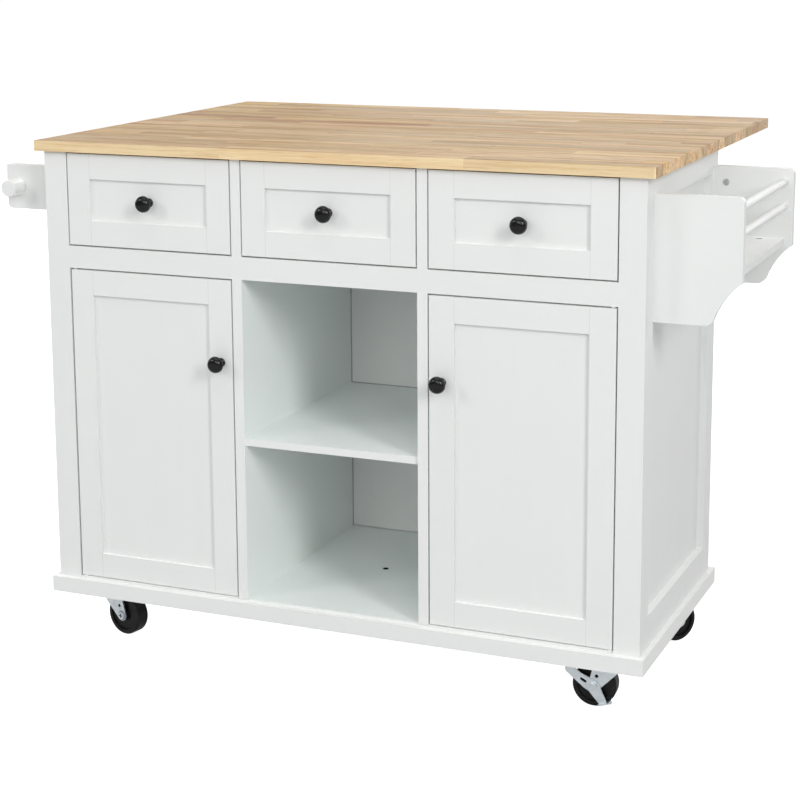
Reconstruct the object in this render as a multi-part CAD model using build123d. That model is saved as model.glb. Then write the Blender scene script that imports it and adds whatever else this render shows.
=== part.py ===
"""Kitchen island cart: white cabinet on casters, wooden worktop with a rear drop leaf.

Units are millimetres. The design frame has X from the cabinet's left side, Y from its
front face towards the back, and Z up from the floor. Everything is exported about the
bottom centre of the whole object's bounding box.
"""
import os
from math import atan2, degrees, hypot

from build123d import *

# ---------------------------------------------------------------- overall sizes
HEIGHT = 920.0                # floor to worktop
TOP_T = 18.0                  # worktop and leaf thickness
CAB_W, CAB_D = 1090.0, 465.0
TOP_SIDE, TOP_FRONT = 16.0, 10.0          # worktop overhangs
TOP_REAR = 483.0              # rear edge of the fixed worktop
LEAF_D, SEAM = 324.5, 1.6     # leaf depth and the gap to the fixed top
TOP_Z = HEIGHT - TOP_T        # underside of the worktop

BASE_Z0, BASE_Z1 = 96.0, 124.0            # base board
BASE_SIDE, BASE_FRONT, BASE_REAR = 9.0, 12.0, 15.0
FLOOR_T = 4.0
FLOOR_Z = BASE_Z1 + FLOOR_T
FLOOR_HOLE_R = 4.5

# ---------------------------------------------------------------- cabinet frame
POST_W, POST_D = 44.0, 46.0
DIV_T = 18.0                  # upright dividers
OPEN_W = (CAB_W - 2 * POST_W - 2 * DIV_T) / 3
OPEN_X = [POST_W + i * (OPEN_W + DIV_T) for i in range(3)]
BOARD = 18.0                  # doors, drawer fronts and front rail
RAIL_Z0, RAIL_Z1 = 696.0, 735.0           # front rail between drawers and doors
DECK_T = 15.0
PANEL_IN, PANEL_T = 12.0, 8.0             # side panels, set in from the posts
SKIN = PANEL_IN + PANEL_T
LOW_RAIL_Z, HIGH_RAIL_Z = 178.0, 857.0    # edges of the outer rails
BACK_Y, BACK_T = 452.0, 5.0
BACK_GAP = 1.6                # open joint round the back panel inside the cabinet
BACK_STILE_W = 60.0
BACK_STILE_X = [230.0, CAB_W - 230.0]     # back stiles that carry the leaf supports
SHELF_Z, SHELF_T = 404.0, 13.0

# ---------------------------------------------------------------- doors and drawers
GAP = 2.6                     # shadow gap round doors and drawers
FRAME_W = 44.0                # stiles and rails of the framed fronts
RECESS = 6.0                  # depth of the framed panels
DOOR_Z0, DOOR_Z1 = FLOOR_Z + 2.5, RAIL_Z0 - 3.0
FRONT_Z0, FRONT_Z1 = RAIL_Z1 + 3.0, TOP_Z - 3.0
PIVOT_IN, PIVOT_BACK = 6.3, 6.0           # door pivot from the door's edge and face
PIN_R, BUSH_R, RUN_CLEAR = 2.5, 4.0, 0.05
BOX_SIDE, BOX_GAP = 12.0, 13.0            # drawer box boards, room for the slides
BOX_Y1, BOX_Z0, BOX_Z1 = 390.0, 755.0, 865.0
BOTTOM_Z, BOTTOM_T = 762.0, 5.0
SLIDE_Y0, SLIDE_Y1 = 40.0, 388.0
SLIDE_Z, SLIDE_H, SLIDE_T = 808.0, 45.0, 1.5
KNOB_R, KNOB_L = 14.5, 30.0
DOOR_KNOB_Z = 549.0

# ---------------------------------------------------------------- rails and racks
TOWEL_REACH, TOWEL_T = 109.0, 20.0
TOWEL_Z0, TOWEL_Z1 = 789.0, 868.0
TOWEL_Y = [44.0, CAB_D - 44.0 - TOWEL_T]
ROD_R, ROD_X, ROD_Z, ROD_OUT = 15.0, -86.0, 829.0, 33.0
RACK_REACH, RACK_T, RACK_H = 141.0, 15.0, 204.5
RACK_Z0 = 667.0
RACK_Y0, RACK_Y1 = 44.0, 446.0
RACK_SHELF_W, RACK_SHELF_T, RACK_SHELF_Z = 127.0, 12.0, 750.0
DOWEL_R, DOWEL_X, DOWEL_Z = 7.0, CAB_W + 124.5, (848.0, 806.0)
CAM_R, CAM_T = 6.0, 9.0

# ---------------------------------------------------------------- drop leaf hardware
KNUCKLE_R, LEAF_PIN_R, PLATE_T = 3.5, 1.5, 2.0
AXIS_Y = TOP_REAR + SEAM / 2
AXIS_Z = TOP_Z - KNUCKLE_R - 0.2
HINGE_L, HINGE_X = 60.0, [100.0, CAB_W / 2, CAB_W - 100.0]
STRUT_X = BACK_STILE_X
STRIP_W, STRIP_T = 22.0, 2.0              # strip under the leaf
ROLLER_R = 5.0
STRUT_V = TOP_Z - STRIP_T - 0.4 - ROLLER_R - AXIS_Z   # roller centre below the axis
STRUT_REACH, STRUT_DROP = 140.0, 70.0     # roller out from the axis, pivot below it
STRUT_L = hypot(STRUT_REACH - STRUT_V, STRUT_DROP + STRUT_V)
STRUT_TILT = degrees(atan2(STRUT_DROP + STRUT_V, STRUT_REACH - STRUT_V))
STRUT_W, STRUT_T = 9.0, 3.0
STRUT_EYE = 6.0

# ---------------------------------------------------------------- casters
WHEEL_R, WHEEL_W = 37.5, 27.0
TRAIL = 29.0                  # axle behind the swivel axis
AXLE_R = 4.0
CROWN_Z, CROWN_T = 80.0, 3.0
CUP_Z, KING_R = 90.0, 4.0     # top of the fork's bearing cup, king pin
SCREW_IN = 16.0
LEG_IN, LEG_T = 16.0, 2.5
CASTER_X, CASTER_Y0, CASTER_Y1 = 67.0, 82.0, 395.0
CASTERS = {                   # swivel position and the heading of the trail
    "fl": (CASTER_X, CASTER_Y0, -13.0),
    "fr": (CAB_W - CASTER_X, CASTER_Y0, 184.0),
    "rl": (CASTER_X, CASTER_Y1, 118.0),
    "rr": (CAB_W - CASTER_X, CASTER_Y1, 52.0),
}
BRAKED = ("fr", "rl")

# ---------------------------------------------------------------- export frame
X_MID = (CAB_W + RACK_REACH - TOWEL_REACH) / 2
Y_FRONT = -KNOB_L
Y_MID = (Y_FRONT + TOP_REAR + SEAM + LEAF_D) / 2


def slab(x0, x1, y0, y1, z0, z1):
    """Rectangular board between two corners."""
    return Pos(x0, y0, z0) * Box(x1 - x0, y1 - y0, z1 - z0, align=(Align.MIN,) * 3)


def rod_x(x0, x1, y, z, r):
    """Round bar along X."""
    return Pos((x0 + x1) / 2, y, z) * Rot(0, 90, 0) * Cylinder(r, x1 - x0)


def rod_y(x, y0, y1, z, r):
    """Round bar along Y."""
    return Pos(x, (y0 + y1) / 2, z) * Rot(90, 0, 0) * Cylinder(r, y1 - y0)


def rod_z(x, y, z0, z1, r):
    """Round bar along Z."""
    return Pos(x, y, (z0 + z1) / 2) * Cylinder(r, z1 - z0)


def mirror_x(shape):
    """The same shape on the other side of the cabinet."""
    return mirror(shape, about=Plane.YZ.offset(CAB_W / 2))


def save(name, solids):
    """Write one node as a STEP file about the object's bottom centre."""
    solids = solids if isinstance(solids, list) else [solids]
    moved = [Pos(-X_MID, -Y_MID, 0) * s for s in solids]
    export_step(moved[0] if len(moved) == 1 else Compound(children=moved), f"parts/{name}.step")


# ---------------------------------------------------------------- worktop
def make_worktop():
    """Fixed worktop and the drop leaf, with softened outer corners."""
    x0, x1 = -TOP_SIDE, CAB_W + TOP_SIDE
    top = slab(x0, x1, -TOP_FRONT, TOP_REAR, TOP_Z, HEIGHT)
    top = fillet(top.edges().filter_by(Axis.Z).group_by(Axis.Y)[0], 4)
    leaf = slab(x0, x1, TOP_REAR + SEAM, TOP_REAR + SEAM + LEAF_D, TOP_Z, HEIGHT)
    leaf = fillet(leaf.edges().filter_by(Axis.Z).group_by(Axis.Y)[-1], 4)
    save("worktop", top)
    save("drop_leaf", leaf)


def hinge_plate(x, side):
    """Flat hinge plate under the top on one side of the seam, side -1 front or 1 rear."""
    near, far = KNUCKLE_R * 0.4, 16.5
    y0, y1 = sorted((AXIS_Y + side * near, AXIS_Y + side * far))
    return slab(x - HINGE_L / 2, x + HINGE_L / 2, y0, y1, TOP_Z - PLATE_T, TOP_Z)


def knuckle(x0, x1, bore):
    """One hinge knuckle round the seam's axis."""
    return rod_x(x0, x1, AXIS_Y, AXIS_Z, KNUCKLE_R) - rod_x(x0 - 1, x1 + 1, AXIS_Y, AXIS_Z, bore)


def make_leaf_hinges():
    """Three butt hinges under the seam: plates, knuckles and pins."""
    fixed, moving = [], []
    third = HINGE_L / 3
    bore = LEAF_PIN_R + RUN_CLEAR
    for x in HINGE_X:
        x0 = x - HINGE_L / 2
        front = hinge_plate(x, -1)
        front -= slab(x0 + third, x0 + 2 * third, AXIS_Y - 5, AXIS_Y + 5, AXIS_Z, TOP_Z + 1)
        front += knuckle(x0, x0 + third - 0.3, bore) + knuckle(x0 + 2 * third + 0.3, x0 + HINGE_L, bore)
        rear = hinge_plate(x, 1)
        for a in (x0 - 1, x0 + 2 * third):
            rear -= slab(a, a + third + 1, AXIS_Y - 5, AXIS_Y + 5, AXIS_Z, TOP_Z + 1)
        rear += knuckle(x0 + third, x0 + 2 * third, bore)
        fixed += [front, rod_x(x0, x0 + HINGE_L, AXIS_Y, AXIS_Z, LEAF_PIN_R)]
        moving.append(rear)
    save("leaf_hinge_fixed_plates", fixed)
    save("leaf_hinge_moving_plates", moving)


def make_leaf_supports():
    """Roller props: wall brackets on the back, strips under the leaf, swinging struts."""
    pivot_y, pivot_z = AXIS_Y + STRUT_V, AXIS_Z - STRUT_DROP
    walls, strips, struts = [], [], []
    for x in STRUT_X:
        half = STRUT_T / 2 + 0.4
        plate = slab(x - 15, x + 15, CAB_D, CAB_D + 2, pivot_z - 45, pivot_z + 25)
        for side in (-1, 1):
            a, b = sorted((x + side * half, x + side * (half + 2)))
            plate += slab(a, b, CAB_D + 1, pivot_y, pivot_z - STRUT_EYE, pivot_z + STRUT_EYE)
            plate += rod_x(a, b, pivot_y, pivot_z, STRUT_EYE)
        hole = rod_x(x - 10, x + 10, pivot_y, pivot_z, PIN_R + RUN_CLEAR)
        walls.append(plate - hole)
        pin = rod_x(x - half - 3, x + half + 3, pivot_y, pivot_z, PIN_R)
        walls.append(pin + rod_x(x + half + 2.3, x + half + 4, pivot_y, pivot_z, 4.5))

        y0, y1 = AXIS_Y + STRUT_REACH - 25, AXIS_Y + STRUT_DROP + STRUT_L + 15
        strip = slab(x - STRIP_W / 2, x + STRIP_W / 2, y0, y1, TOP_Z - STRIP_T, TOP_Z)
        strips.append(strip)

        bar = slab(x - STRUT_T / 2, x + STRUT_T / 2, 0, STRUT_L, -STRUT_W / 2, STRUT_W / 2)
        bar += rod_x(x - STRUT_T / 2, x + STRUT_T / 2, 0, 0, STRUT_EYE)
        bar -= rod_x(x - 5, x + 5, 0, 0, PIN_R + RUN_CLEAR)
        bar -= slab(x - 5, x + 5, STRUT_L - 4, STRUT_L + 1, -STRUT_W, STRUT_W)
        bar += rod_x(x - STRUT_T / 2, x + STRUT_T / 2, STRUT_L - 1, 0, 3.8)
        roller = rod_x(x + STRUT_T / 2, x + STRUT_T / 2 + 6, STRUT_L, 0, ROLLER_R)
        place = Pos(0, pivot_y, pivot_z) * Rot(STRUT_TILT, 0, 0)
        struts += [place * bar, place * roller]
    save("leaf_support_brackets", walls)
    save("leaf_support_strips", strips)
    save("leaf_support_struts", struts)


# ---------------------------------------------------------------- carcass
def pivot_places():
    """Door pivot axes: the left door turns at its left edge, the right at its right."""
    left = OPEN_X[0] + GAP + PIVOT_IN
    return [(left, PIVOT_BACK), (CAB_W - left, PIVOT_BACK)]


def make_base():
    """Base board and floor panel, bored for the lower door pivots."""
    base = slab(-BASE_SIDE, CAB_W + BASE_SIDE, -BASE_FRONT, CAB_D + BASE_REAR, BASE_Z0, BASE_Z1)
    floor = slab(POST_W, CAB_W - POST_W, 3, BACK_Y + BACK_T, BASE_Z1, FLOOR_Z)
    for x, y in pivot_places():
        bore = rod_z(x, y, BASE_Z1 - 12, FLOOR_Z + 1, BUSH_R + 0.1)
        base -= bore
        floor -= bore
    hole = rod_z(CAB_W / 2, 237, BASE_Z0 + 6, FLOOR_Z + 1, FLOOR_HOLE_R)
    base -= hole
    floor -= hole
    for x, y, _ in CASTERS.values():
        for dx in (-27, 27):
            for dy in (-21, 21):
                base -= rod_z(x + dx, y + dy, BASE_Z0 - 1, BASE_Z0 + SCREW_IN + 1, 2.3)
    save("base_board", base)
    save("floor_panel", floor)


def make_frame():
    """Corner posts, side panels, outer rails, back panel and the rails under the top."""
    post = slab(0, POST_W, 0, POST_D, BASE_Z1, TOP_Z)
    posts = [post, Pos(0, CAB_D - POST_D, 0) * post]
    save("corner_posts", posts + [mirror_x(p) for p in posts])

    y0, y1 = POST_D, CAB_D - POST_D
    panel = slab(PANEL_IN, SKIN, y0, y1, LOW_RAIL_Z, HIGH_RAIL_Z)
    save("side_panels", [panel, mirror_x(panel)])

    low = slab(0, SKIN, y0, y1, BASE_Z1, LOW_RAIL_Z)
    high = slab(0, SKIN, y0, y1, HIGH_RAIL_Z, TOP_Z)
    rails = [low, high, mirror_x(low), mirror_x(high)]
    back = BACK_Y + BACK_T
    for z0, z1 in ((BASE_Z1, LOW_RAIL_Z), (HIGH_RAIL_Z, TOP_Z)):
        rails.append(slab(POST_W, CAB_W - POST_W, back, CAB_D, z0, z1))
    for x in BACK_STILE_X:
        half = BACK_STILE_W / 2
        rails.append(slab(x - half, x + half, back, CAB_D, LOW_RAIL_Z, HIGH_RAIL_Z))
    save("outer_rails", rails)

    save("back_panel", slab(POST_W, CAB_W - POST_W, BACK_Y, back, FLOOR_Z + BACK_GAP, TOP_Z))

    inner = [slab(x, x + OPEN_W, 20, 60, TOP_Z - 18, TOP_Z) for x in OPEN_X]
    cleat = slab(SKIN, POST_W, POST_D, CAB_D - POST_D, 770, 850)
    save("inner_rails", inner + [cleat, mirror_x(cleat)])


def make_front():
    """Front rail, dividers, drawer deck, shelves and their pins."""
    rail = slab(POST_W, CAB_W - POST_W, 0, BOARD, RAIL_Z0, RAIL_Z1)
    for x, y in pivot_places():
        rail -= rod_z(x, y, RAIL_Z0 - 1, RAIL_Z0 + 16, BUSH_R + 0.1)
    save("front_rail", rail)

    dividers = []
    for x in OPEN_X[1:]:
        board = slab(x - DIV_T, x, 0, BACK_Y - BACK_GAP, FLOOR_Z, TOP_Z)
        dividers.append(board - slab(x - DIV_T - 1, x + 1, -1, BOARD, RAIL_Z0, RAIL_Z1))
    save("dividers", dividers)

    deck = [slab(x, x + OPEN_W, BOARD, BACK_Y, RAIL_Z1 - DECK_T, RAIL_Z1) for x in OPEN_X]
    save("drawer_deck", deck)

    bay = slab(OPEN_X[1], OPEN_X[1] + OPEN_W, 5, BACK_Y - BACK_GAP, SHELF_Z, SHELF_Z + SHELF_T)
    left = slab(SKIN + 1, OPEN_X[1] - DIV_T - 1, POST_D + 2, CAB_D - POST_D - 2, SHELF_Z, SHELF_Z + SHELF_T)
    save("shelves", [bay, left, mirror_x(left)])

    pins = []
    z = SHELF_Z - PIN_R - 0.1
    for y in (90.0, 375.0):
        for x0 in (SKIN, OPEN_X[1] - DIV_T - 10):
            pin = rod_x(x0, x0 + 10, y, z, PIN_R)
            pins += [pin, mirror_x(pin)]
    save("shelf_pins", pins)


# ---------------------------------------------------------------- framed fronts
def framed(x0, x1, z0, z1):
    """The four frame pieces of a framed front: two stiles and two rails."""
    inner0, inner1 = x0 + FRAME_W, x1 - FRAME_W
    return [
        slab(x0, inner0, 0, BOARD, z0, z1),
        slab(inner1, x1, 0, BOARD, z0, z1),
        slab(inner0, inner1, 0, BOARD, z0, z0 + FRAME_W),
        slab(inner0, inner1, 0, BOARD, z1 - FRAME_W, z1),
    ]


def knob(x, z, face):
    """Mushroom knob and its screw on a front whose outer face is at Y = face."""
    profile = Polyline((0, 0), (8, 0), (8, 2), (5.5, 4), (5, 12))
    neck = Spline((5, 12), (8, 15.5), (KNOB_R, 20), tangents=((0.1, 1), (0.6, 1)))
    head = Spline((KNOB_R, 20), (12.5, 26.5), (0, KNOB_L), tangents=((0, 1), (-1, 0)))
    axis = Line((0, KNOB_L), (0, 0))
    outline = make_face(profile.edges() + [neck.edge(), head.edge(), axis.edge()])
    body = revolve(Plane.XZ * outline, Axis.Z)
    body -= Cylinder(2.05, 24)
    return Pos(x, face, z) * Rot(90, 0, 0) * body


def knob_screw(x, z, face, back):
    """Pan-head screw from the inside of a front into its knob."""
    return rod_y(x, face - 10, back, z, 2) + rod_y(x, back, back + 2.4, z, 4)


def make_drawers():
    """Three drawers: framed front, box, slide members and knob."""
    for i, x0 in enumerate(OPEN_X, start=1):
        x1 = x0 + OPEN_W
        mid, z_mid = (x0 + x1) / 2, (FRONT_Z0 + FRONT_Z1) / 2
        a, b = x0 + GAP, x1 - GAP
        panel = slab(a + FRAME_W, b - FRAME_W, RECESS, BOARD, FRONT_Z0 + FRAME_W, FRONT_Z1 - FRAME_W)
        panel -= rod_y(mid, 0, BOARD + 1, z_mid, 2.05)
        save(f"drawer_{i}_front", framed(a, b, FRONT_Z0, FRONT_Z1) + [panel])
        save(f"drawer_{i}_knob", [knob(mid, z_mid, RECESS), knob_screw(mid, z_mid, RECESS, BOARD)])

        c, d = x0 + BOX_GAP, x1 - BOX_GAP
        box = [
            slab(c, c + BOX_SIDE, BOARD, BOX_Y1, BOX_Z0, BOX_Z1),
            slab(d - BOX_SIDE, d, BOARD, BOX_Y1, BOX_Z0, BOX_Z1),
            slab(c + BOX_SIDE, d - BOX_SIDE, BOX_Y1 - BOX_SIDE, BOX_Y1, BOX_Z0, BOX_Z1),
            slab(c + BOX_SIDE, d - BOX_SIDE, BOARD, BOX_Y1 - BOX_SIDE, BOTTOM_Z, BOTTOM_Z + BOTTOM_T),
        ]
        save(f"drawer_{i}_box", box)
        inner = channel(c, -1, SLIDE_H - 2 * SLIDE_T - 1, BOX_GAP - SLIDE_T - 0.5)
        outer = channel(d, 1, SLIDE_H - 2 * SLIDE_T - 1, BOX_GAP - SLIDE_T - 0.5)
        save(f"drawer_{i}_slides", [inner, outer])


def channel(x, side, height, depth):
    """Slide channel with its web at x, opening towards side -1 left or 1 right."""
    z0, z1 = SLIDE_Z - height / 2, SLIDE_Z + height / 2
    a, b = sorted((x, x + side * SLIDE_T))
    shape = slab(a, b, SLIDE_Y0, SLIDE_Y1, z0, z1)
    a, b = sorted((x, x + side * depth))
    for z in (z0, z1 - SLIDE_T):
        shape += slab(a, b, SLIDE_Y0, SLIDE_Y1, z, z + SLIDE_T)
    return shape


def make_cabinet_slides():
    """Slide channels fixed to the cabinet on both sides of each drawer."""
    depth = BOX_GAP - SLIDE_T - 0.5
    slides = []
    for x0 in OPEN_X:
        slides += [channel(x0, 1, SLIDE_H, depth), channel(x0 + OPEN_W, -1, SLIDE_H, depth)]
    save("cabinet_slides", slides)


def make_doors():
    """Two framed doors on pivot pins, with the bushes and the magnetic catches."""
    x0, x1 = OPEN_X[0] + GAP, OPEN_X[0] + OPEN_W - GAP
    px, py = pivot_places()[0]
    frame = framed(x0, x1, DOOR_Z0, DOOR_Z1)
    edge = frame[0].edges().filter_by(Axis.Z).group_by(Axis.Y)[0].sort_by(Axis.X)[0]
    frame[0] = fillet(edge, 2)
    knob_x = x1 - FRAME_W / 2
    frame[1] -= rod_y(knob_x, -1, BOARD + 1, DOOR_KNOB_Z, 2.05)
    pins = []
    for low, high in ((BASE_Z1 - 8, DOOR_Z0 + 20), (DOOR_Z1 - 20, RAIL_Z0 + 12)):
        pins.append(rod_z(px, py, low, high, PIN_R))
        frame[0] -= rod_z(px, py, max(low, DOOR_Z0 - 1), min(high, DOOR_Z1 + 1), PIN_R + RUN_CLEAR)
    panel = slab(x0 + FRAME_W, x1 - FRAME_W, RECESS, 2 * RECESS, DOOR_Z0 + FRAME_W, DOOR_Z1 - FRAME_W)
    handle = [knob(knob_x, DOOR_KNOB_Z, 0), knob_screw(knob_x, DOOR_KNOB_Z, 0, BOARD)]
    for name, turn in (("left", lambda s: s), ("right", mirror_x)):
        save(f"door_{name}_frame", [turn(s) for s in frame])
        save(f"door_{name}_panel", turn(panel))
        save(f"door_{name}_pivot_pins", [turn(s) for s in pins])
        save(f"door_{name}_knob", [turn(s) for s in handle])

    bushes = []
    for x, y in pivot_places():
        lower = rod_z(x, y, BASE_Z1 - 11, FLOOR_Z, BUSH_R) + rod_z(x, y, FLOOR_Z, FLOOR_Z + 1.5, 4.6)
        upper = rod_z(x, y, RAIL_Z0, RAIL_Z0 + 15, BUSH_R) + rod_z(x, y, RAIL_Z0 - 1.5, RAIL_Z0, 4.6)
        for bush in (lower, upper):
            bushes.append(bush - rod_z(x, y, 0, HEIGHT, PIN_R + RUN_CLEAR))
    save("pivot_bushes", bushes)

    catch = slab(x1 - 18, x1 + GAP, BOARD + 0.8, BOARD + 14, 600, 645)
    save("door_catches", [catch, mirror_x(catch)])


# ---------------------------------------------------------------- towel rail
def make_towel_rail():
    """Two bracket boards on the left side with a round rod through both."""
    brackets = []
    for y in TOWEL_Y:
        board = slab(-TOWEL_REACH, 0, y, y + TOWEL_T, TOWEL_Z0, TOWEL_Z1)
        low = board.edges().filter_by(Axis.Y).group_by(Axis.X)[0].sort_by(Axis.Z)[0]
        board = fillet(low, 8)
        board = fillet(board.edges().filter_by(Axis.Y).group_by(Axis.X)[0].sort_by(Axis.Z)[-1], 2.5)
        brackets.append(board - rod_y(ROD_X, y - 1, y + TOWEL_T + 1, ROD_Z, ROD_R + 0.1))
    save("towel_brackets", brackets)
    y0, y1 = TOWEL_Y[0] - ROD_OUT, TOWEL_Y[1] + TOWEL_T + ROD_OUT
    rod = rod_y(ROD_X, y0, y1, ROD_Z, ROD_R)
    save("towel_rod", chamfer(rod.edges().filter_by(GeomType.CIRCLE), 1.0))


# ---------------------------------------------------------------- spice rack
def rack_end(y):
    """Rack end board with a rounded top corner and an ogee lower corner."""
    w, h = RACK_REACH, RACK_H
    curves = [
        RadiusArc((w - 9, h), (w, h - 9), 9),
        Line((w, h - 9), (w, 70)),
        ThreePointArc((w, 70), (115.5, 45), (98, 14)),
        ThreePointArc((98, 14), (92.5, 4.5), (83, 0)),
    ]
    outline = Polyline((83, 0), (0, 0), (0, h), (w - 9, h)).edges() + [c.edge() for c in curves]
    board = extrude(Plane.XZ * make_face(outline), RACK_T, dir=(0, 1, 0))
    return Pos(CAB_W, y, RACK_Z0) * board


def cam(x, y, z, turn):
    """Cam lock disc with a cross slot, its face turned by the given rotation."""
    disc = Pos(0, 0, -CAM_T / 2) * Cylinder(CAM_R, CAM_T)
    for a in (0, 90):
        disc -= Rot(0, 0, a) * Box(7, 1.4, 2.4)
    return Pos(x, y, z) * turn * disc


def make_spice_rack():
    """Rack on the right side: end boards, shelf, two retaining dowels and cam locks."""
    inner0, inner1 = RACK_Y0 + RACK_T, RACK_Y1 - RACK_T
    ends = [rack_end(RACK_Y0), rack_end(RACK_Y1 - RACK_T)]
    cam_x = CAB_W + 23
    cams = []
    for z in (843.0, 700.0):
        ends[0] -= rod_y(cam_x, inner0 - CAM_T - 0.1, inner0 + 1, z, CAM_R + 0.1)
        ends[1] -= rod_y(cam_x, inner1 - 1, inner1 + CAM_T + 0.1, z, CAM_R + 0.1)
        cams.append(cam(cam_x, inner0, z, Rot(-90, 0, 0)))
        cams.append(cam(cam_x, inner1, z, Rot(90, 0, 0)))
    shelf_z0 = RACK_SHELF_Z - RACK_SHELF_T
    shelf = slab(CAB_W, CAB_W + RACK_SHELF_W, inner0, inner1, shelf_z0, RACK_SHELF_Z)
    for y in (inner0 + 20, inner1 - 20):
        for x in (CAB_W + 30, CAB_W + 88):
            shelf -= rod_z(x, y, RACK_SHELF_Z - CAM_T - 0.1, RACK_SHELF_Z + 1, CAM_R + 0.1)
            cams.append(cam(x, y, RACK_SHELF_Z, Rot(0, 0, 45)))
    save("rack_end_boards", ends)
    save("rack_shelf", shelf)
    save("rack_dowels", [rod_y(DOWEL_X, inner0, inner1, z, DOWEL_R) for z in DOWEL_Z])
    save("rack_cam_locks", cams)


# ---------------------------------------------------------------- casters
def upright(sketch_edges, y0, y1):
    """Plate between y0 and y1 whose outline is the hull of edges drawn in X and Z."""
    outline = Plane.XZ * make_hull(sketch_edges)
    return Pos(0, y0, 0) * extrude(outline, y1 - y0, dir=(0, 1, 0))


def ring(x, z, r):
    """Circle edges in the X and Z drawing plane."""
    return (Pos(x, z) * Circle(r)).edges()


def make_fork():
    """Pressed fork: bearing cup, crown and two tapering legs with axle eyes."""
    crown = Pos(0, CROWN_Z + CROWN_T / 2)
    body = Pos(0, 0, CROWN_Z + CROWN_T / 2) * Box(54, 2 * (LEG_IN + LEG_T), CROWN_T)
    body += rod_z(0, 0, CROWN_Z, CUP_Z, 20)
    leg = ring(TRAIL, WHEEL_R, 10) + (crown * Rectangle(54, CROWN_T)).edges()
    body += upright(leg, LEG_IN, LEG_IN + LEG_T)
    body += upright(leg, -LEG_IN - LEG_T, -LEG_IN)
    body -= rod_y(TRAIL, -30, 30, WHEEL_R, AXLE_R + RUN_CLEAR)
    body -= rod_y(TRAIL - 5, -30, 30, WHEEL_R + 18, 3)
    return body - rod_z(0, 0, CROWN_Z - 1, CUP_Z + 1, KING_R + RUN_CLEAR)


def make_axle(nut_y):
    """Axle bolt with its head, and the hexagon nut on the other side."""
    head_y = -LEG_IN - LEG_T
    bolt = rod_y(TRAIL, head_y, nut_y + 4.5, WHEEL_R, AXLE_R)
    bolt += rod_y(TRAIL, head_y - 3, head_y, WHEEL_R, 7)
    nut = Plane.XZ * (Pos(TRAIL, WHEEL_R) * RegularPolygon(7.2, 6))
    nut = Pos(0, nut_y, 0) * extrude(nut, 3.6, dir=(0, 1, 0))
    return [bolt, nut - rod_y(TRAIL, nut_y - 1, nut_y + 9, WHEEL_R, AXLE_R + RUN_CLEAR)]


def make_wheel():
    """Solid wheel with rounded shoulders, a recessed ring on each face and a hub."""
    wheel = Cylinder(WHEEL_R, WHEEL_W)
    wheel = fillet(wheel.edges().filter_by(GeomType.CIRCLE), 3.5)
    for side in (-1, 1):
        recess = Cylinder(29, 6) - Cylinder(13, 8)
        wheel -= Pos(0, 0, side * WHEEL_W / 2) * recess
    wheel += Cylinder(11, 2 * LEG_IN - 1)
    wheel -= Cylinder(AXLE_R + RUN_CLEAR, 50)
    return Pos(TRAIL, 0, WHEEL_R) * Rot(90, 0, 0) * wheel


def make_brake():
    """Stamped brake lever on the axle: curved side plate, pedal over the tread and foot tab."""
    y0 = LEG_IN + LEG_T + 0.3
    y1 = y0 + 2
    path = [(41, 27, 7.5), (26, 15, 8), (10, 5, 10.5), (0, 0, 11), (-7, -12, 9), (-15, -24, 7)]
    discs = [ring(TRAIL + x, WHEEL_R + z, r) for x, z, r in path]
    lever = upright(discs[0] + discs[1], y0, y1)
    for near, far in zip(discs[1:], discs[2:]):
        lever += upright(near + far, y0, y1)
    pedal = Pos(44, 0, 0) * Box(2.2, y1 + 10, 14)
    lever += Pos(TRAIL, (y1 - 10) / 2, WHEEL_R) * Rot(0, -34, 0) * pedal
    lever += Pos(TRAIL - 21, y0 + 5, WHEEL_R - 26) * Rot(0, 16, 0) * Box(23, 10, 2)
    lever += Pos(TRAIL - 30, y0 + 5, WHEEL_R - 21) * Rot(0, 50, 0) * Box(9, 10, 2)
    slot = Plane.XZ * (Pos(TRAIL + 17, WHEEL_R + 9.5) * Rot(0, 0, 30) * SlotOverall(12, 4.5))
    lever -= Pos(0, y0 - 1, 0) * extrude(slot, 4, dir=(0, 1, 0))
    return lever - rod_y(TRAIL, 0, 40, WHEEL_R, AXLE_R + RUN_CLEAR)


def make_casters():
    """Four swivel casters, two of them with brake levers."""
    plates, screws = [], []
    for name, (x, y, heading) in CASTERS.items():
        corner, turned = Pos(x, y, 0), Pos(x, y, 0) * Rot(0, 0, heading)
        nut_y = LEG_IN + LEG_T + (2.6 if name in BRAKED else 0)
        plate = slab(-34, 34, -28, 28, BASE_Z0 - 2.8, BASE_Z0)
        plate += rod_z(0, 0, CUP_Z + 0.5, BASE_Z0 - 2.8, 20)
        plate += rod_z(0, 0, CROWN_Z - 3, BASE_Z0 - 2.8, KING_R) + rod_z(0, 0, CROWN_Z - 3.5, CROWN_Z - 0.5, 7)
        for dx in (-27, 27):
            for dy in (-21, 21):
                plate -= rod_z(dx, dy, BASE_Z0 - 4, BASE_Z0 + 1, 2.3)
                screw = rod_z(dx, dy, BASE_Z0 - 2.8, BASE_Z0 + SCREW_IN, 2.2)
                screws.append(corner * (screw + rod_z(dx, dy, BASE_Z0 - 5, BASE_Z0 - 2.8, 4.5)))
        plates.append(corner * plate)
        save(f"caster_{name}_fork", [turned * s for s in [make_fork()] + make_axle(nut_y)])
        save(f"caster_{name}_wheel", turned * make_wheel())
        if name in BRAKED:
            save(f"caster_{name}_brake", turned * make_brake())
    save("caster_plates", plates)
    save("caster_screws", screws)


def main():
    """Build every node."""
    os.makedirs("parts", exist_ok=True)
    make_worktop()
    make_leaf_hinges()
    make_leaf_supports()
    make_base()
    make_frame()
    make_front()
    make_drawers()
    make_cabinet_slides()
    make_doors()
    make_towel_rail()
    make_spice_rack()
    make_casters()


main()
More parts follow.
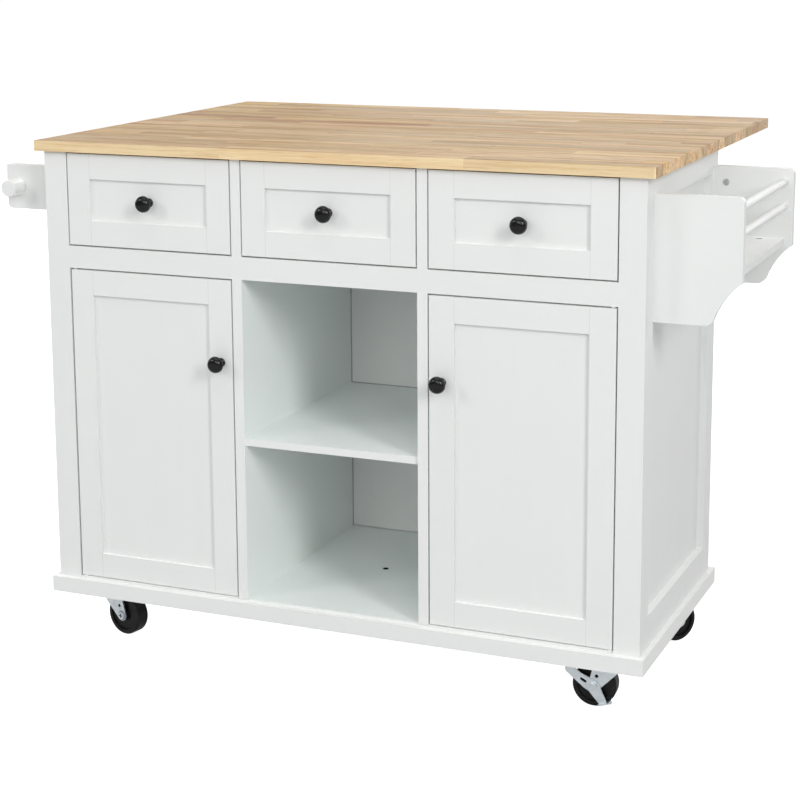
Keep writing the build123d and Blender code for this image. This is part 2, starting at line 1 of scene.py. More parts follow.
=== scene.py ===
"""Looks of the rolling kitchen island: materials, small hardware, studio and camera."""
import math

import bpy
from mathutils import Euler, Matrix, Vector


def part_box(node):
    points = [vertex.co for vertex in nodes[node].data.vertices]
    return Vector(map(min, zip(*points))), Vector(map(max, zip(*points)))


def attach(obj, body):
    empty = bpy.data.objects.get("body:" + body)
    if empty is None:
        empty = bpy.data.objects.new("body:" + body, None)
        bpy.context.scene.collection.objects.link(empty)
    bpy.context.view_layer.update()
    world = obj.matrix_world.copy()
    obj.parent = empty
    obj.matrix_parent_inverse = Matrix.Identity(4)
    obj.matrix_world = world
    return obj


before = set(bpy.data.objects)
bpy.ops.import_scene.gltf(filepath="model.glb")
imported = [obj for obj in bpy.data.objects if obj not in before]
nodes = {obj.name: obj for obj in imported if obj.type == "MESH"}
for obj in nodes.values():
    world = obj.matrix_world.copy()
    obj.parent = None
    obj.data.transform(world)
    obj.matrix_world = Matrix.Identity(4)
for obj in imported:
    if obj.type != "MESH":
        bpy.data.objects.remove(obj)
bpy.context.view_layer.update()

MM = 0.001
X, Y, Z = 0, 1, 2
FACING_MIN = 0.6      # a normal's least share of an axis for its face to count as looking along it

# Camera: place in metres, turns in degrees, lens and sensor in mm, shift as a share of the frame.
CAMERA_PLACE = (1.2948, -3.2043, 1.2775)
CAMERA_DOWN, CAMERA_TURN, CAMERA_ROLL = 10.20, 22.74, -0.34
CAMERA_LENS, CAMERA_SENSOR, CAMERA_SHIFT = 85.3, 36.0, -0.16

# Lights: name, place and aim in metres, width and height in metres, watts.
MIDDLE, OVER_TOP, BEHIND_TOP = (0.0, -0.1, 0.45), (0.0, 0.1, 0.9), (0.0, 0.3, 0.9)
LIGHTS = (
    ("key_right", (4.98, -3.9, 3.63), MIDDLE, (1.4, 2.7), 190.0),
    ("key_front_right", (3.26, -5.4, 3.97), MIDDLE, (1.4, 2.7), 48.0),
    ("key_left", (-3.6, -4.2, 3.2), MIDDLE, (1.5, 1.5), 58.0),
    ("front_fill", (0.0, -6.2, 2.6), MIDDLE, (3.0, 2.4), 72.0),
    ("top_fill", (0.0, -1.2, 4.4), OVER_TOP, (3.0, 2.6), 36.0),
    ("rear_right", (3.4, 4.8, 1.9), MIDDLE, (2.0, 2.0), 84.0),
    ("rear_left", (-5.0, 2.7, 2.0), MIDDLE, (2.2, 2.0), 90.0),
    ("leaf_sheen", (-3.8, 4.9, 1.8), MIDDLE, (1.8, 2.0), 15.0),
    ("side_left", (-5.4, -0.8, 1.9), MIDDLE, (2.2, 2.2), 30.0),
    ("rear_panel", (-0.6, 6.0, 1.9), BEHIND_TOP, (4.5, 2.6), 66.0),
)
WORLD_LIGHT, WORLD_SEEN = 0.22, 1.0      # strength for the object, and for what the camera sees
FLOOR_REACH, FLOOR_SEEN = 60.0, 0.88     # half the floor's width, and its own light in the camera
FLOOR_DARK, FLOOR_PALE, FLOOR_ROUGHNESS = (0.62, 0.62, 0.62), (0.66, 0.66, 0.66), 0.9

# Worktop: a stave's width, the shortest block and how much longer the others are, in metres, and how
# many blocks one stave may be shifted against another.
STAVE = 0.0411
BLOCK_MIN, BLOCK_SPREAD = 0.26, 0.24
ROW_SHIFT = 7.3
SEAM_WIDTH, JOINT_WIDTH = 0.012, 0.0022      # glue lines, as shares of a stave and of a block
TOP_PALE = (0.820, 0.630, 0.375)
TOP_YELLOW = (0.830, 0.610, 0.290)
TOP_TAN = (0.730, 0.525, 0.290)
TOP_PINK = (0.570, 0.350, 0.190)
# The long edges' paler tone is painted light.
EDGE_LIT_PALE = (1.000, 0.855, 0.545)
END_TONE = (0.860, 0.640, 0.420)
EDGE_LIT_SHARE, END_SHARE = 0.88, 0.30      # how far the long edges take their painted light and the ends their own tone
GRAIN_SHADE = (0.78, 0.62, 0.46)
PORE_SHADE = (0.60, 0.42, 0.27)
GLUE_SHADE = (0.46, 0.32, 0.22)

# Brightness of the darkest and the palest block, what the ends add to it, and the painted light that
# the long edges add.
BLOCK_LEVELS, END_LEVELS, EDGE_LIT_LEVELS = (0.80, 1.06), (-0.16, 0.06), (0.16, 0.02)

# How strongly each part of the grain shows, and how much calmer it is on the long edges.
BROAD_SHOWS, FINE_SHOWS, PORES_SHOW, FLECKS_SHOW, EDGE_CALM = 0.95, 0.90, 0.40, 0.75, 0.65
SEAM_SHOWS, JOINT_SHOWS = 0.38, 0.55
GRAIN_RANGE = (0.47, 0.64)      # the part of the noise that turns from pale wood to dark grain

# How far the grain bends, and how far it jumps along and through the wood from block to block.
GRAIN_BEND, JUMP_ALONG, JUMP_THROUGH = 0.012, 9.0, 3.0

# How often the parts of the wood's grain repeat in a metre: along the stave, across it, through it.
WANDER = (3.0, 9.0, 9.0)
FIGURE = (2.4, 55.0, 55.0)
STREAKS = (6.0, 260.0, 260.0)
PORES = (70.0, 1100.0, 1100.0)
FLECKS = (16.0, 480.0, 480.0)

# Paint: WHITE outside, and inside a cooler white that is also paler as painted light. The base's sides
# and the outer ledges are a little paler too, as painted light.
# BRUSHED and LINE_SHADE are what the strokes and the lines multiply it by: joint lines on the fronts,
# and painted shade lines in the bay's corners.
WHITE = (0.770, 0.783, 0.775)
# The inside's white: cooler than WHITE, and paler as painted light on faces that don't look along Y.
INNER_COOL_LIT_WHITE = (0.872, 0.915, 0.898)
# The base's sides, paler as painted light.
BASE_SIDE_LIT_WHITE = (0.840, 0.850, 0.838)
# A painted highlight on the outer faces that look up or down.
LEDGE_HIGHLIGHT_WHITE = (0.950, 0.952, 0.940)
BRUSHED = (0.93, 0.94, 0.93)
LINE_SHADE = (0.30, 0.31, 0.31)

# How often the brush strokes repeat in a metre, on upright boards and on boards along X and Y.
UPRIGHT, LENGTHWISE, CROSSWISE = (70.0, 70.0, 3.0), (3.0, 70.0, 70.0), (70.0, 3.0, 70.0)

# Joint lines on the fronts, and painted shade lines in the bay's corners: half their width, and how
# dark they are.
STILE_LINE = (0.6 * MM, 0.22)
# Painted shade in the bay's inner corners.
CORNER_SHADE_LINE = (1.8 * MM, 0.75)

# Metals and blacks.
ZINC = (0.840, 0.900, 0.940)
DULL_ZINC = (0.420, 0.450, 0.480)
STEEL = (0.560, 0.570, 0.580)
CAST_DARK, CAST_PALE = (0.44, 0.45, 0.46), (0.62, 0.63, 0.64)
ENAMEL, ENAMEL_DUST = (0.0025, 0.0025, 0.0028), (0.006, 0.006, 0.0065)
WHEEL, WHEEL_SCUFF = (0.003, 0.003, 0.0033), (0.014, 0.0135, 0.013)
METALLIC = 0.85
ZINC_SCRATCHES, SLIDE_SCRATCHES = (40.0, 400.0, 400.0), (500.0, 8.0, 500.0)      # repeats in a metre
BOLT_SCRATCHES = (400.0, 400.0, 400.0)

# Roughness of each finish, from its smoothest to its roughest patches.
OILED, SATIN, PLATED = (0.46, 0.60), (0.38, 0.50), (0.24, 0.40)
GLOSSY, MOULDED, CAST = (0.16, 0.26), (0.30, 0.50), (0.38, 0.55)

# Fronts framed by stiles and rails, and their stiles' width; the bay's dividers and shelf.
FRAMED = ("drawer_1_front", "drawer_2_front", "drawer_3_front", "door_left_frame", "door_right_frame")
STILE, DIVIDER, SHELF_TOP = 0.044, 0.018, 0.417

# Casters: the heading of each trail, and how far from the wheel's middle the fork leg and the bolt end.
CASTER_HEADINGS = {"fl": -13.0, "fr": 184.0, "rl": 118.0, "rr": 52.0}
LEG_FACE, HEAD_FACE = 18.5 * MM, 21.5 * MM

# Rounded edges: a bevel's steps, and the turn in degrees below which an edge stays as it is.
EDGE_STEPS, EDGE_ANGLE = 2, 40.0

# Turned pieces: radius and height in mm. The cross is in mm too: length, width and height.
WASHER = ((7.2, 0.05), (7.2, 0.9), (8.8, 0.9), (9.2, 0.5), (9.2, 0.05))
# The sleeve is black and stands for the shade inside the floor's bore.
BORE_SHADE_SLEEVE = ((0.0, -22.0), (3.7, -22.0), (3.7, 0.4), (5.2, 0.5), (5.4, 0.05))
# The cross is black and stands for the shade in a bolt head's cross recess.
CROSS = (8.0, 1.7, 0.25)
FLOOR_BORE = (-0.0160, -0.1526, 0.1280)


# ---------------------------------------------------------------- node graphs

class Graph:
    """A material's node tree, with short ways to add nodes and to link them."""

    def __init__(self, name):
        self.material = bpy.data.materials.new(name)
        self.material.use_nodes = True
        self.tree = self.material.node_tree
        self.shader = self.tree.nodes["Principled BSDF"]
        self.coordinates = self.add("ShaderNodeTexCoord")
        self.place = self.coordinates.outputs["Object"]

    def add(self, kind, **settings):
        """A new node with those settings."""
        node = self.tree.nodes.new(kind)
        for key, value in settings.items():
            setattr(node, key, value)
        return node

    def feed(self, socket, value):
        """Links an output to the socket, or sets the socket to a plain value."""
        if hasattr(value, "is_linked"):
            self.tree.links.new(value, socket)
        else:
            socket.default_value = value

    def math(self, operation, *values):
        """One math node."""
        node = self.add("ShaderNodeMath", operation=operation)
        for socket, value in zip(node.inputs, values):
            self.feed(socket, value)
        return node.outputs[0]

    def plus(self, first, second):
        """The sum of two values."""
        return self.math("ADD", first, second)

    def minus(self, first, second):
        """The first value less the second."""
        return self.math("SUBTRACT", first, second)

    def times(self, first, second):
        """The product of two values."""
        return self.math("MULTIPLY", first, second)

    def split(self, vector):
        """The X, Y and Z of a vector."""
        node = self.add("ShaderNodeSeparateXYZ")
        self.feed(node.inputs[0], vector)
        return tuple(node.outputs)

    def combine(self, x, y, z):
        """A vector of three values."""
        node = self.add("ShaderNodeCombineXYZ")
        for socket, value in zip(node.inputs, (x, y, z)):
            self.feed(socket, value)
        return node.outputs[0]

    def scaled(self, vector, scale, offset=(0, 0, 0)):
        """The vector scaled along each axis and then moved."""
        node = self.add("ShaderNodeMapping")
        self.feed(node.inputs["Vector"], vector)
        node.inputs["Scale"].default_value = scale
        node.inputs["Location"].default_value = offset
        return node.outputs[0]

    def noise(self, vector, scale=1.0, detail=3.0, roughness=0.5):
        """Soft noise, about 0.5 on average."""
        node = self.add("ShaderNodeTexNoise")
        self.feed(node.inputs["Vector"], vector)
        node.inputs["Scale"].default_value = scale
        node.inputs["Detail"].default_value = detail
        node.inputs["Roughness"].default_value = roughness
        return node.outputs["Fac"]

    def random(self, x, y, z=0.0):
        """A fixed chance from 0 to 1 for each set of three numbers."""
        node = self.add("ShaderNodeTexWhiteNoise", noise_dimensions="3D")
        self.feed(node.inputs["Vector"], self.combine(x, y, z))
        return node.outputs["Value"]

    def span(self, value, source, target=(0.0, 1.0)):
        """The value moved from the source range to the target range, and kept inside it."""
        node = self.add("ShaderNodeMapRange")
        self.feed(node.inputs["Value"], value)
        for key, number in zip(("From Min", "From Max", "To Min", "To Max"), (*source, *target)):
            node.inputs[key].default_value = number
        return node.outputs["Result"]

    def mix(self, factor, first, second, blend="MIX"):
        """Two colours mixed by the factor."""
        node = self.add("ShaderNodeMix", data_type="RGBA", blend_type=blend)
        self.feed(node.inputs["Factor"], factor)
        for socket, value in ((node.inputs["A"], first), (node.inputs["B"], second)):
            self.feed(socket, (*value, 1.0) if isinstance(value, tuple) else value)
        return node.outputs["Result"]

    def shade(self, factor, colour, tint):
        """The colour multiplied by a tint, as far as the factor says."""
        return self.mix(factor, colour, tint, "MULTIPLY")

    def ramp(self, factor, stops):
        """A colour ramp through (position, colour) stops."""
        node = self.add("ShaderNodeValToRGB")
        self.feed(node.inputs["Fac"], factor)
        while len(node.color_ramp.elements) < len(stops):
            node.color_ramp.elements.new(0.5)
        for element, (position, colour) in zip(node.color_ramp.elements, stops):
            element.position = position
            element.color = (*colour, 1.0)
        return node.outputs["Color"]

    def facing(self, axis):
        """1 where the surface looks along that axis, either way, else 0."""
        normal = self.split(self.coordinates.outputs["Normal"])
        return self.math("GREATER_THAN", self.math("ABSOLUTE", normal[axis]), FACING_MIN)

    def bump(self, height, depth, strength=1.0):
        """Bump from a height, with its depth in metres."""
        node = self.add("ShaderNodeBump")
        self.feed(node.inputs["Height"], height)
        node.inputs["Distance"].default_value = depth
        node.inputs["Strength"].default_value = strength
        self.feed(self.shader.inputs["Normal"], node.outputs["Normal"])

    def finish(self, colour, roughness, metallic=0.0, specular=0.5):
        """Feeds the shader and gives back the material."""
        self.feed(self.shader.inputs["Base Color"], colour)
        self.feed(self.shader.inputs["Roughness"], roughness)
        self.shader.inputs["Metallic"].default_value = metallic
        self.shader.inputs["Specular IOR Level"].default_value = specular
        return self.material


# ---------------------------------------------------------------- butcher block

def block_layout(graph, first_edge, seed):
    """Places counted in staves and in blocks, and two fixed chances for each block."""
    x, y, _ = graph.split(graph.place)
    across = graph.math("DIVIDE", graph.minus(y, first_edge), STAVE)
    row = graph.math("FLOOR", across)
    row_chance = graph.random(row, seed)
    length = graph.math("MULTIPLY_ADD", row_chance, BLOCK_SPREAD, BLOCK_MIN)
    along = graph.plus(graph.math("DIVIDE", x, length), graph.times(row_chance, ROW_SHIFT))
    block = graph.math("FLOOR", along)
    chance = graph.random(row, block, seed + 3.0)
    tone = graph.random(row, block, seed + 9.0)
    return across, along, chance, tone


def wood_grain(graph, chance, tone):
    """Broad figure, fine streaks, pores and flecks, cut from another spot for each block."""
    x, y, z = graph.split(graph.place)
    along = graph.plus(x, graph.times(chance, JUMP_ALONG))
    through = graph.plus(z, graph.times(tone, JUMP_THROUGH))
    wander = graph.noise(graph.scaled(graph.combine(along, y, through), WANDER), detail=2.0)
    place = graph.combine(along, graph.plus(y, graph.times(wander, GRAIN_BEND)), through)
    figure = graph.noise(graph.scaled(place, FIGURE), detail=4.0, roughness=0.6)
    streaks = graph.noise(graph.scaled(place, STREAKS), detail=4.0, roughness=0.62)
    pores = graph.span(graph.noise(graph.scaled(place, PORES), detail=2.0), (0.58, 0.70))
    flecks = graph.span(graph.noise(graph.scaled(place, FLECKS), roughness=0.6), (0.55, 0.64))
    return figure, streaks, pores, flecks


def block_colour(graph, chance, tone, edge, end):
    """Each block's own colour, paler on the long edges as painted light, and in stronger contrast on
    the ends.
    """
    stops = [(0.0, TOP_PINK), (0.16, TOP_TAN), (0.55, TOP_PALE), (0.80, TOP_YELLOW), (1.0, TOP_TAN)]
    colour = graph.ramp(chance, stops)
    # Painted light: the long edges are made paler and brighter.
    colour = graph.mix(graph.times(edge, EDGE_LIT_SHARE), colour, EDGE_LIT_PALE)
    colour = graph.mix(graph.times(end, END_SHARE), colour, END_TONE)
    level = graph.span(tone, (0.0, 1.0), BLOCK_LEVELS)
    level = graph.plus(level, graph.times(end, graph.span(tone, (0.0, 1.0), END_LEVELS)))
    level = graph.plus(level, graph.times(edge, graph.span(tone, (0.0, 1.0), EDGE_LIT_LEVELS)))
    value = graph.add("ShaderNodeHueSaturation")
    graph.feed(value.inputs["Value"], level)
    graph.feed(value.inputs["Color"], colour)
    return value.outputs["Color"]


def edge_line(graph, value, width):
    """1 in a thin line at each whole number of the value, else 0."""
    part = graph.math("FRACT", value)
    near = graph.math("MINIMUM", part, graph.minus(1.0, part))
    return graph.span(near, (0.0, width), (1.0, 0.0))


def butcher_block(name, first_edge, seed):
    """Oiled rubberwood: staves along X from the first edge, each of end-jointed blocks."""
    graph = Graph(name)
    across, along, chance, tone = block_layout(graph, first_edge, seed)
    figure, streaks, pores, flecks = wood_grain(graph, chance, tone)
    edge, end = graph.facing(Y), graph.facing(X)
    colour = block_colour(graph, chance, tone, edge, end)

    calm = graph.minus(1.0, graph.times(edge, EDGE_CALM))
    broad = graph.times(calm, graph.span(figure, GRAIN_RANGE, (0.0, BROAD_SHOWS)))
    fine = graph.times(calm, graph.span(streaks, GRAIN_RANGE, (0.0, FINE_SHOWS)))
    marks = graph.math("MAXIMUM", graph.times(pores, PORES_SHOW), graph.times(flecks, FLECKS_SHOW))
    colour = graph.shade(broad, colour, GRAIN_SHADE)
    colour = graph.shade(fine, colour, GRAIN_SHADE)
    colour = graph.shade(graph.times(marks, calm), colour, PORE_SHADE)

    seam = graph.times(edge_line(graph, across, SEAM_WIDTH), SEAM_SHOWS)
    joint = graph.times(edge_line(graph, along, JOINT_WIDTH), JOINT_SHOWS)
    lines = graph.math("MAXIMUM", seam, joint)
    colour = graph.shade(lines, colour, GLUE_SHADE)
    height = graph.minus(graph.times(streaks, 0.5), graph.times(pores, 0.6))
    graph.bump(graph.minus(height, lines), depth=0.10 * MM, strength=0.6)
    return graph.finish(colour, graph.span(figure, (0.3, 0.8), OILED), specular=0.45)


# ---------------------------------------------------------------- paint, metal and plastic

def hairlines(graph, joints, width):
    """1 in a thin line at each joint on the faces that look towards the front, else 0.

    Each joint is an axis and its place on that axis. In the bay's corners the line is painted shade.
    """
    place = graph.split(graph.place)
    normal = graph.split(graph.coordinates.outputs["Normal"])
    lines = 0.0
    for axis, spot in joints:
        distance = graph.math("ABSOLUTE", graph.minus(place[axis], spot))
        lines = graph.math("MAXIMUM", lines, graph.span(distance, (0.4 * width, width), (1.0, 0.0)))
    return graph.times(lines, graph.math("LESS_THAN", normal[Y], -0.5))


def lit_white_paint(name, strokes, seed, side=WHITE, level=LEDGE_HIGHLIGHT_WHITE, joints=(), line=STILE_LINE):
    """Satin lacquer: faint spray texture, tone drift, a trace of strokes, and lines at joints; in
    corners these lines are painted shade.

    The side tint, painted light, is for faces that look along X. The level tint, painted light too, is
    for those that look up or down. Faces that look along Y are always WHITE.
    """
    graph = Graph(name)
    moved = graph.scaled(graph.place, (1.0, 1.0, 1.0), (seed, seed * 0.7, seed * 0.3))
    drift = graph.noise(moved, scale=3.0)
    peel = graph.noise(moved, scale=900.0, detail=2.0)
    brushed = graph.noise(graph.scaled(moved, strokes), roughness=0.55)
    colour = graph.ramp(drift, [(0.25, tuple(c * 0.975 for c in side)), (0.75, side)])
    # Painted light: the tints below make faces paler according to the way they look.
    if side != WHITE:
        colour = graph.mix(graph.facing(Y), colour, WHITE)
    if level != side:
        colour = graph.mix(graph.facing(Z), colour, level)
    colour = graph.shade(graph.span(brushed, (0.35, 0.7), (0.0, 0.10)), colour, BRUSHED)
    height = graph.plus(graph.times(peel, 0.35), graph.times(brushed, 0.65))
    if joints:
        width, darkness = line
        lines = hairlines(graph, joints, width)
        colour = graph.shade(graph.times(lines, darkness), colour, LINE_SHADE)
        height = graph.minus(height, lines)
    graph.bump(height, depth=0.05 * MM, strength=0.55)
    roughness = graph.span(graph.noise(moved, scale=14.0, detail=4.0), (0.3, 0.7), SATIN)
    return graph.finish(colour, roughness, specular=0.42)


def plated_metal(name, tint, scratches):
    """Plated steel: cloudy plating, fine scratches and duller patches."""
    graph = Graph(name)
    cloud = graph.noise(graph.place, scale=60.0, detail=4.0, roughness=0.6)
    fine = graph.noise(graph.scaled(graph.place, scratches), roughness=0.6)
    colour = graph.ramp(cloud, [(0.3, tuple(c * 0.82 for c in tint)), (0.7, tint)])
    graph.bump(graph.plus(cloud, graph.times(fine, 0.6)), depth=0.04 * MM, strength=0.6)
    dullness = graph.span(cloud, (0.3, 0.75), PLATED)
    roughness = graph.plus(dullness, graph.span(fine, (0.4, 0.7), (0.0, 0.08)))
    return graph.finish(colour, roughness, metallic=METALLIC)


def black_enamel(name):
    """Glossy black enamel of the knobs, with a very slight ripple."""
    graph = Graph(name)
    ripple = graph.noise(graph.place, scale=160.0, detail=2.0)
    dust = graph.noise(graph.place, scale=700.0, roughness=0.7)
    colour = graph.ramp(dust, [(0.45, ENAMEL), (0.8, ENAMEL_DUST)])
    graph.bump(ripple, depth=0.06 * MM, strength=0.5)
    return graph.finish(colour, graph.span(dust, (0.4, 0.8), GLOSSY), specular=0.40)


def wheel_plastic(name):
    """Moulded black plastic: satin, scuffed and a little dusty."""
    graph = Graph(name)
    scuff = graph.noise(graph.place, scale=90.0, detail=5.0, roughness=0.7)
    mould = graph.noise(graph.place, scale=1100.0, detail=2.0)
    colour = graph.ramp(scuff, [(0.4, WHEEL), (0.78, WHEEL_SCUFF)])
    graph.bump(graph.plus(mould, scuff), depth=0.05 * MM, strength=0.5)
    return graph.finish(colour, graph.span(scuff, (0.35, 0.75), MOULDED), specular=0.28)


def cast_grey(name):
    """Die-cast zinc of the cam locks."""
    graph = Graph(name)
    cloud = graph.noise(graph.place, scale=400.0)
    colour = graph.ramp(cloud, [(0.3, CAST_DARK), (0.7, CAST_PALE)])
    graph.bump(cloud, depth=0.03 * MM)
    return graph.finish(colour, graph.span(cloud, (0.3, 0.7), CAST), metallic=METALLIC)


# ---------------------------------------------------------------- CAD finishes

def worktop_rules():
    """The two butcher-block boards, whose staves start at each board's front edge."""
    top_edge, leaf_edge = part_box("worktop")[0].y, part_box("drop_leaf")[0].y
    return [
        ("worktop", butcher_block("butcher_block_top", top_edge, 5.0), 1.2),
        ("drop_leaf", butcher_block("butcher_block_leaf", leaf_edge, 21.0), 1.2),
    ]


def front_rules():
    """One paint for each framed front, with lines where its stiles meet its rails."""
    rules = []
    for name in FRAMED:
        low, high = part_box(name)
        joints = ((X, low.x + STILE), (X, high.x - STILE))
        rules.append((name, lit_white_paint(f"paint_{name}", LENGTHWISE, 4.0, joints=joints), 0.4))
    return rules


def inner_rules():
    """Paint for what stands inside the cabinet, cooler and paler than outside as painted light,
    with painted shade lines in the bay's corners on its back.
    """
    left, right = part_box("dividers")
    # Painted shade: dark lines on the back panel where the dividers, the shelf and the bay's floor meet
    # it.
    corners = ((X, left.x + DIVIDER), (X, right.x - DIVIDER), (Z, SHELF_TOP), (Z, left.z))
    # The inside's cooler white, paler as painted light, for faces along X and for those that look up or
    # down.
    inside = (INNER_COOL_LIT_WHITE, INNER_COOL_LIT_WHITE)
    back = lit_white_paint("paint_back_shaded_corners", UPRIGHT, 12.0, *inside, corners, CORNER_SHADE_LINE)
    upright = lit_white_paint("inner_upright_lit", UPRIGHT, 12.0, *inside)
    level = lit_white_paint("inner_lengthwise_lit", LENGTHWISE, 16.0, *inside)
    return [
        ("back_panel", back, 0.0),
        ("dividers", upright, 0.4),
        ("drawer_deck", level, 0.8),
        ("floor_panel", level, 0.4),
        ("shelves", level, 0.8),
    ]


def hardware_rules():
    """Metals and plastics of the fittings."""
    zinc = plated_metal("zinc_plate", ZINC, ZINC_SCRATCHES)
    return [
        ("rack_cam_locks", cast_grey("cast_grey"), 0.2),
        ("knob", black_enamel("black_enamel"), 0.0),
        ("wheel", wheel_plastic("wheel_black"), 0.4),
        ("_slides", plated_metal("slide_steel", STEEL, SLIDE_SCRATCHES), 0.2),
        ("caster", zinc, 0.3),
        ("leaf_", zinc, 0.2),
        ("shelf_pins", zinc, 0.2),
        ("pivot_pins", zinc, 0.2),
        ("catches", zinc, 0.4),
    ]


def outer_rules():
    """Paint for the rest; the last rule takes every node that no other rule names."""
    upright = lit_white_paint("paint_upright", UPRIGHT, 0.0)
    lengthwise = lit_white_paint("paint_lengthwise", LENGTHWISE, 4.0)
    crosswise = lit_white_paint("paint_crosswise", CROSSWISE, 8.0)
    return [
        ("bushes", upright, 0.2),
        ("front_rail", lengthwise, 0.4),
        # The base board's sides take a paler white as painted light.
        ("base_board", lit_white_paint("paint_base_lit_sides", LENGTHWISE, 4.0, BASE_SIDE_LIT_WHITE), 0.8),
        ("towel", crosswise, 1.0),
        ("rack", crosswise, 1.0),
        ("_box", crosswise, 0.6),
        ("corner_posts", upright, 0.5),
        ("", upright, 0.8),
    ]


def cad_finishes():
    """Gives every CAD node its material and a small rounded edge, by the first rule that fits.

    A rule is a word in the node's name, a material, and the edge's width in mm.
    """
    rules = worktop_rules() + front_rules() + inner_rules() + hardware_rules() + outer_rules()
    for name, node in nodes.items():
        material, edge = next((found, width) for word, found, width in rules if word in name)
        node.data.materials.clear()
        node.data.materials.append(material)
        if edge:
            soften(node, edge * MM)


def soften(thing, width):
    """Rounds a piece's edges by a small bevel."""
    bevel = thing.modifiers.new("soft_edges", "BEVEL")
    bevel.width = width
    bevel.segments = EDGE_STEPS
    bevel.limit_method = "ANGLE"
    bevel.angle_limit = math.radians(EDGE_ANGLE)
    bevel.harden_normals = False


# ---------------------------------------------------------------- small pieces

def new_object(name, vertices, faces, material):
    """A mesh object with one material, linked to the scene."""
    mesh = bpy.data.meshes.new(name)
    mesh.from_pydata([tuple(vertex) for vertex in vertices], [], faces)
    mesh.update()
    mesh.materials.append(material)
    made = bpy.data.objects.new(name, mesh)
    bpy.context.scene.collection.objects.link(made)
    return made


def turned_piece(name, profile, place, material, body, segments=40):
    """Spins (radius, height) points in mm about the place's Z axis, to ride on the body."""
    vertices = []
    for radius, height in profile:
        for step in range(segments):
            angle = 2.0 * math.pi * step / segments
            point = Vector((radius * math.cos(angle), radius * math.sin(angle), height)) * MM
            vertices.append(place @ point)
    faces = []
    for row in range(len(profile) - 1):
        for step in range(segments):
            follow = (step + 1) % segments
            low, high = row * segments, (row + 1) * segments
            faces.append((low + step, low + follow, high + follow, high + step))
    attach(new_object(name, vertices, faces, material), body)


def recess_shade_cross_piece(name, place, material, body):
    """A low cross on the place's XY plane, to ride on the body; in black it stands for the shade in a
    cross recess.
    """
    length, width, height = CROSS
    half, arm = length / 2.0, width / 2.0
    outline = [(half, arm), (arm, arm), (arm, half), (-arm, half), (-arm, arm), (-half, arm)]
    outline += [(-x, -y) for x, y in outline]
    vertices = [place @ (Vector((x, y, z)) * MM) for z in (0.0, height) for x, y in outline]
    count = len(outline)
    faces = [(i, (i + 1) % count, (i + 1) % count + count, i + count) for i in range(count)]
    faces.append(tuple(range(count, 2 * count)))
    faces.append(tuple(reversed(range(count))))
    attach(new_object(name, vertices, faces, material), body)


def small_pieces():
    """Washers on the axle bolts; black crosses on them and a black sleeve in the cabinet's floor, which
    stand for the shade in the bolts' cross recesses and in the floor's bore.
    """
    dull = plated_metal("dull_zinc", DULL_ZINC, BOLT_SCRATCHES)
    # Black for the shade in the bolts' cross recesses and in the floor's bore.
    black = wheel_plastic("recess_and_bore_shade_black")
    upright_to_axle = Matrix.Rotation(math.radians(90.0), 4, "X")
    for corner, heading in CASTER_HEADINGS.items():
        low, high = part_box(f"caster_{corner}_wheel")
        turn = Matrix.Rotation(math.radians(heading), 4, "Z") @ upright_to_axle
        hub = Matrix.Translation((low + high) / 2.0) @ turn
        leg = hub @ Matrix.Translation((0.0, 0.0, LEG_FACE))
        head = hub @ Matrix.Translation((0.0, 0.0, HEAD_FACE))
        turned_piece(f"axle_washer_{corner}", WASHER, leg, dull, f"fork_{corner}")
        # Painted shade: a black cross stands for the shade in the axle bolt's cross recess.
        recess_shade_cross_piece(f"axle_recess_shade_cross_{corner}", head, black, f"fork_{corner}")
    # Painted shade: a black sleeve fills the floor's bore, standing for the shade inside it.
    turned_piece("floor_bore_shade_sleeve", BORE_SHADE_SLEEVE, Matrix.Translation(FLOOR_BORE), black, "cabinet")


# ---------------------------------------------------------------- studio

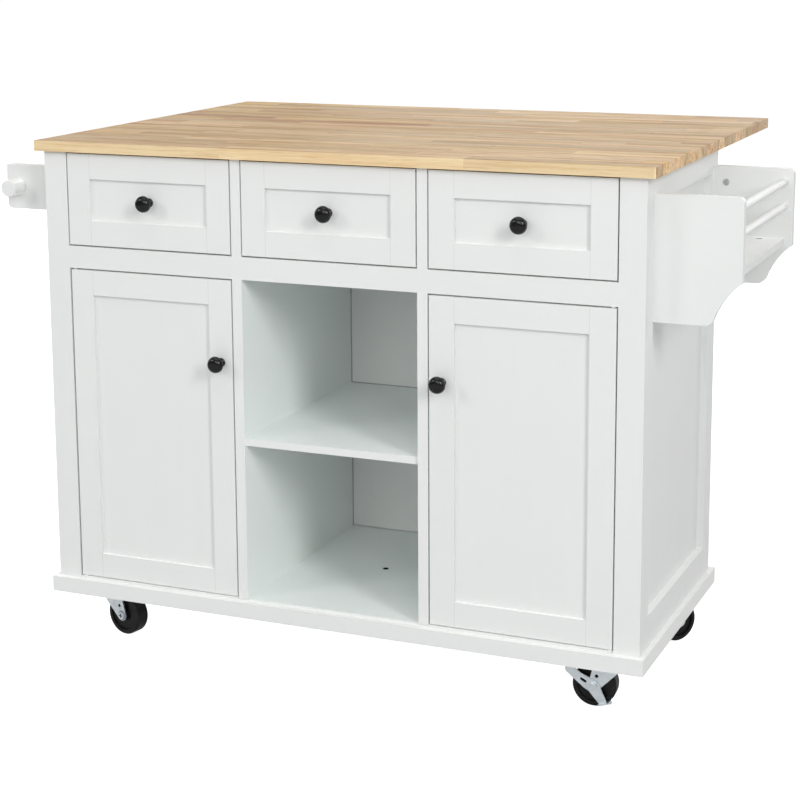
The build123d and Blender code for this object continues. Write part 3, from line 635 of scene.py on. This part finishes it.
def studio_floor():
    """A pale floor that stays white to the horizon."""
    graph = Graph("studio_floor")
    paper = graph.noise(graph.place, scale=40.0)
    tone = graph.ramp(paper, [(0.0, FLOOR_DARK), (1.0, FLOOR_PALE)])
    seen = graph.add("ShaderNodeLightPath").outputs["Is Camera Ray"]
    graph.feed(graph.shader.inputs["Base Color"], tone)
    graph.shader.inputs["Roughness"].default_value = FLOOR_ROUGHNESS
    graph.shader.inputs["Emission Color"].default_value = (1.0, 1.0, 1.0, 1.0)
    graph.feed(graph.shader.inputs["Emission Strength"], graph.times(seen, FLOOR_SEEN))
    signs = ((-1, -1), (1, -1), (1, 1), (-1, 1))
    corners = [(FLOOR_REACH * x, FLOOR_REACH * y, 0.0) for x, y in signs]
    new_object("studio_floor", corners, [(0, 1, 2, 3)], graph.material)


def area_light(name, place, aim, size, power):
    """A rectangular softbox that points at the aim."""
    data = bpy.data.lights.new(name, "AREA")
    data.shape = "RECTANGLE"
    data.size, data.size_y = size
    data.energy = power
    lamp = bpy.data.objects.new(name, data)
    lamp.location = place
    lamp.rotation_euler = (Vector(aim) - Vector(place)).to_track_quat("-Z", "Y").to_euler()
    bpy.context.scene.collection.objects.link(lamp)


def pale_surround():
    """A white world: dim as a light, and bright behind the object."""
    world = bpy.data.worlds.new("studio")
    world.use_nodes = True
    bpy.context.scene.world = world
    tree = world.node_tree
    background = tree.nodes["Background"]
    seen = tree.nodes.new("ShaderNodeLightPath").outputs["Is Camera Ray"]
    strength = tree.nodes.new("ShaderNodeMapRange")
    strength.inputs["To Min"].default_value = WORLD_LIGHT
    strength.inputs["To Max"].default_value = WORLD_SEEN
    background.inputs["Color"].default_value = (1.0, 1.0, 1.0, 1.0)
    tree.links.new(seen, strength.inputs["Value"])
    tree.links.new(strength.outputs["Result"], background.inputs["Strength"])


def camera():
    """The camera that the main view is taken with."""
    data = bpy.data.cameras.new("camera")
    data.lens = CAMERA_LENS
    data.sensor_width = CAMERA_SENSOR
    data.shift_y = CAMERA_SHIFT
    cam = bpy.data.objects.new("camera", data)
    cam.location = CAMERA_PLACE
    look = Euler((math.radians(90.0 - CAMERA_DOWN), 0.0, math.radians(CAMERA_TURN))).to_matrix()
    cam.rotation_euler = (look @ Matrix.Rotation(math.radians(CAMERA_ROLL), 3, "Z")).to_euler()
    bpy.context.scene.collection.objects.link(cam)
    bpy.context.scene.camera = cam


cad_finishes()
small_pieces()
studio_floor()
for light in LIGHTS:
    area_light(*light)
pale_surround()
camera()
bpy.context.scene.view_settings.view_transform = "Standard"
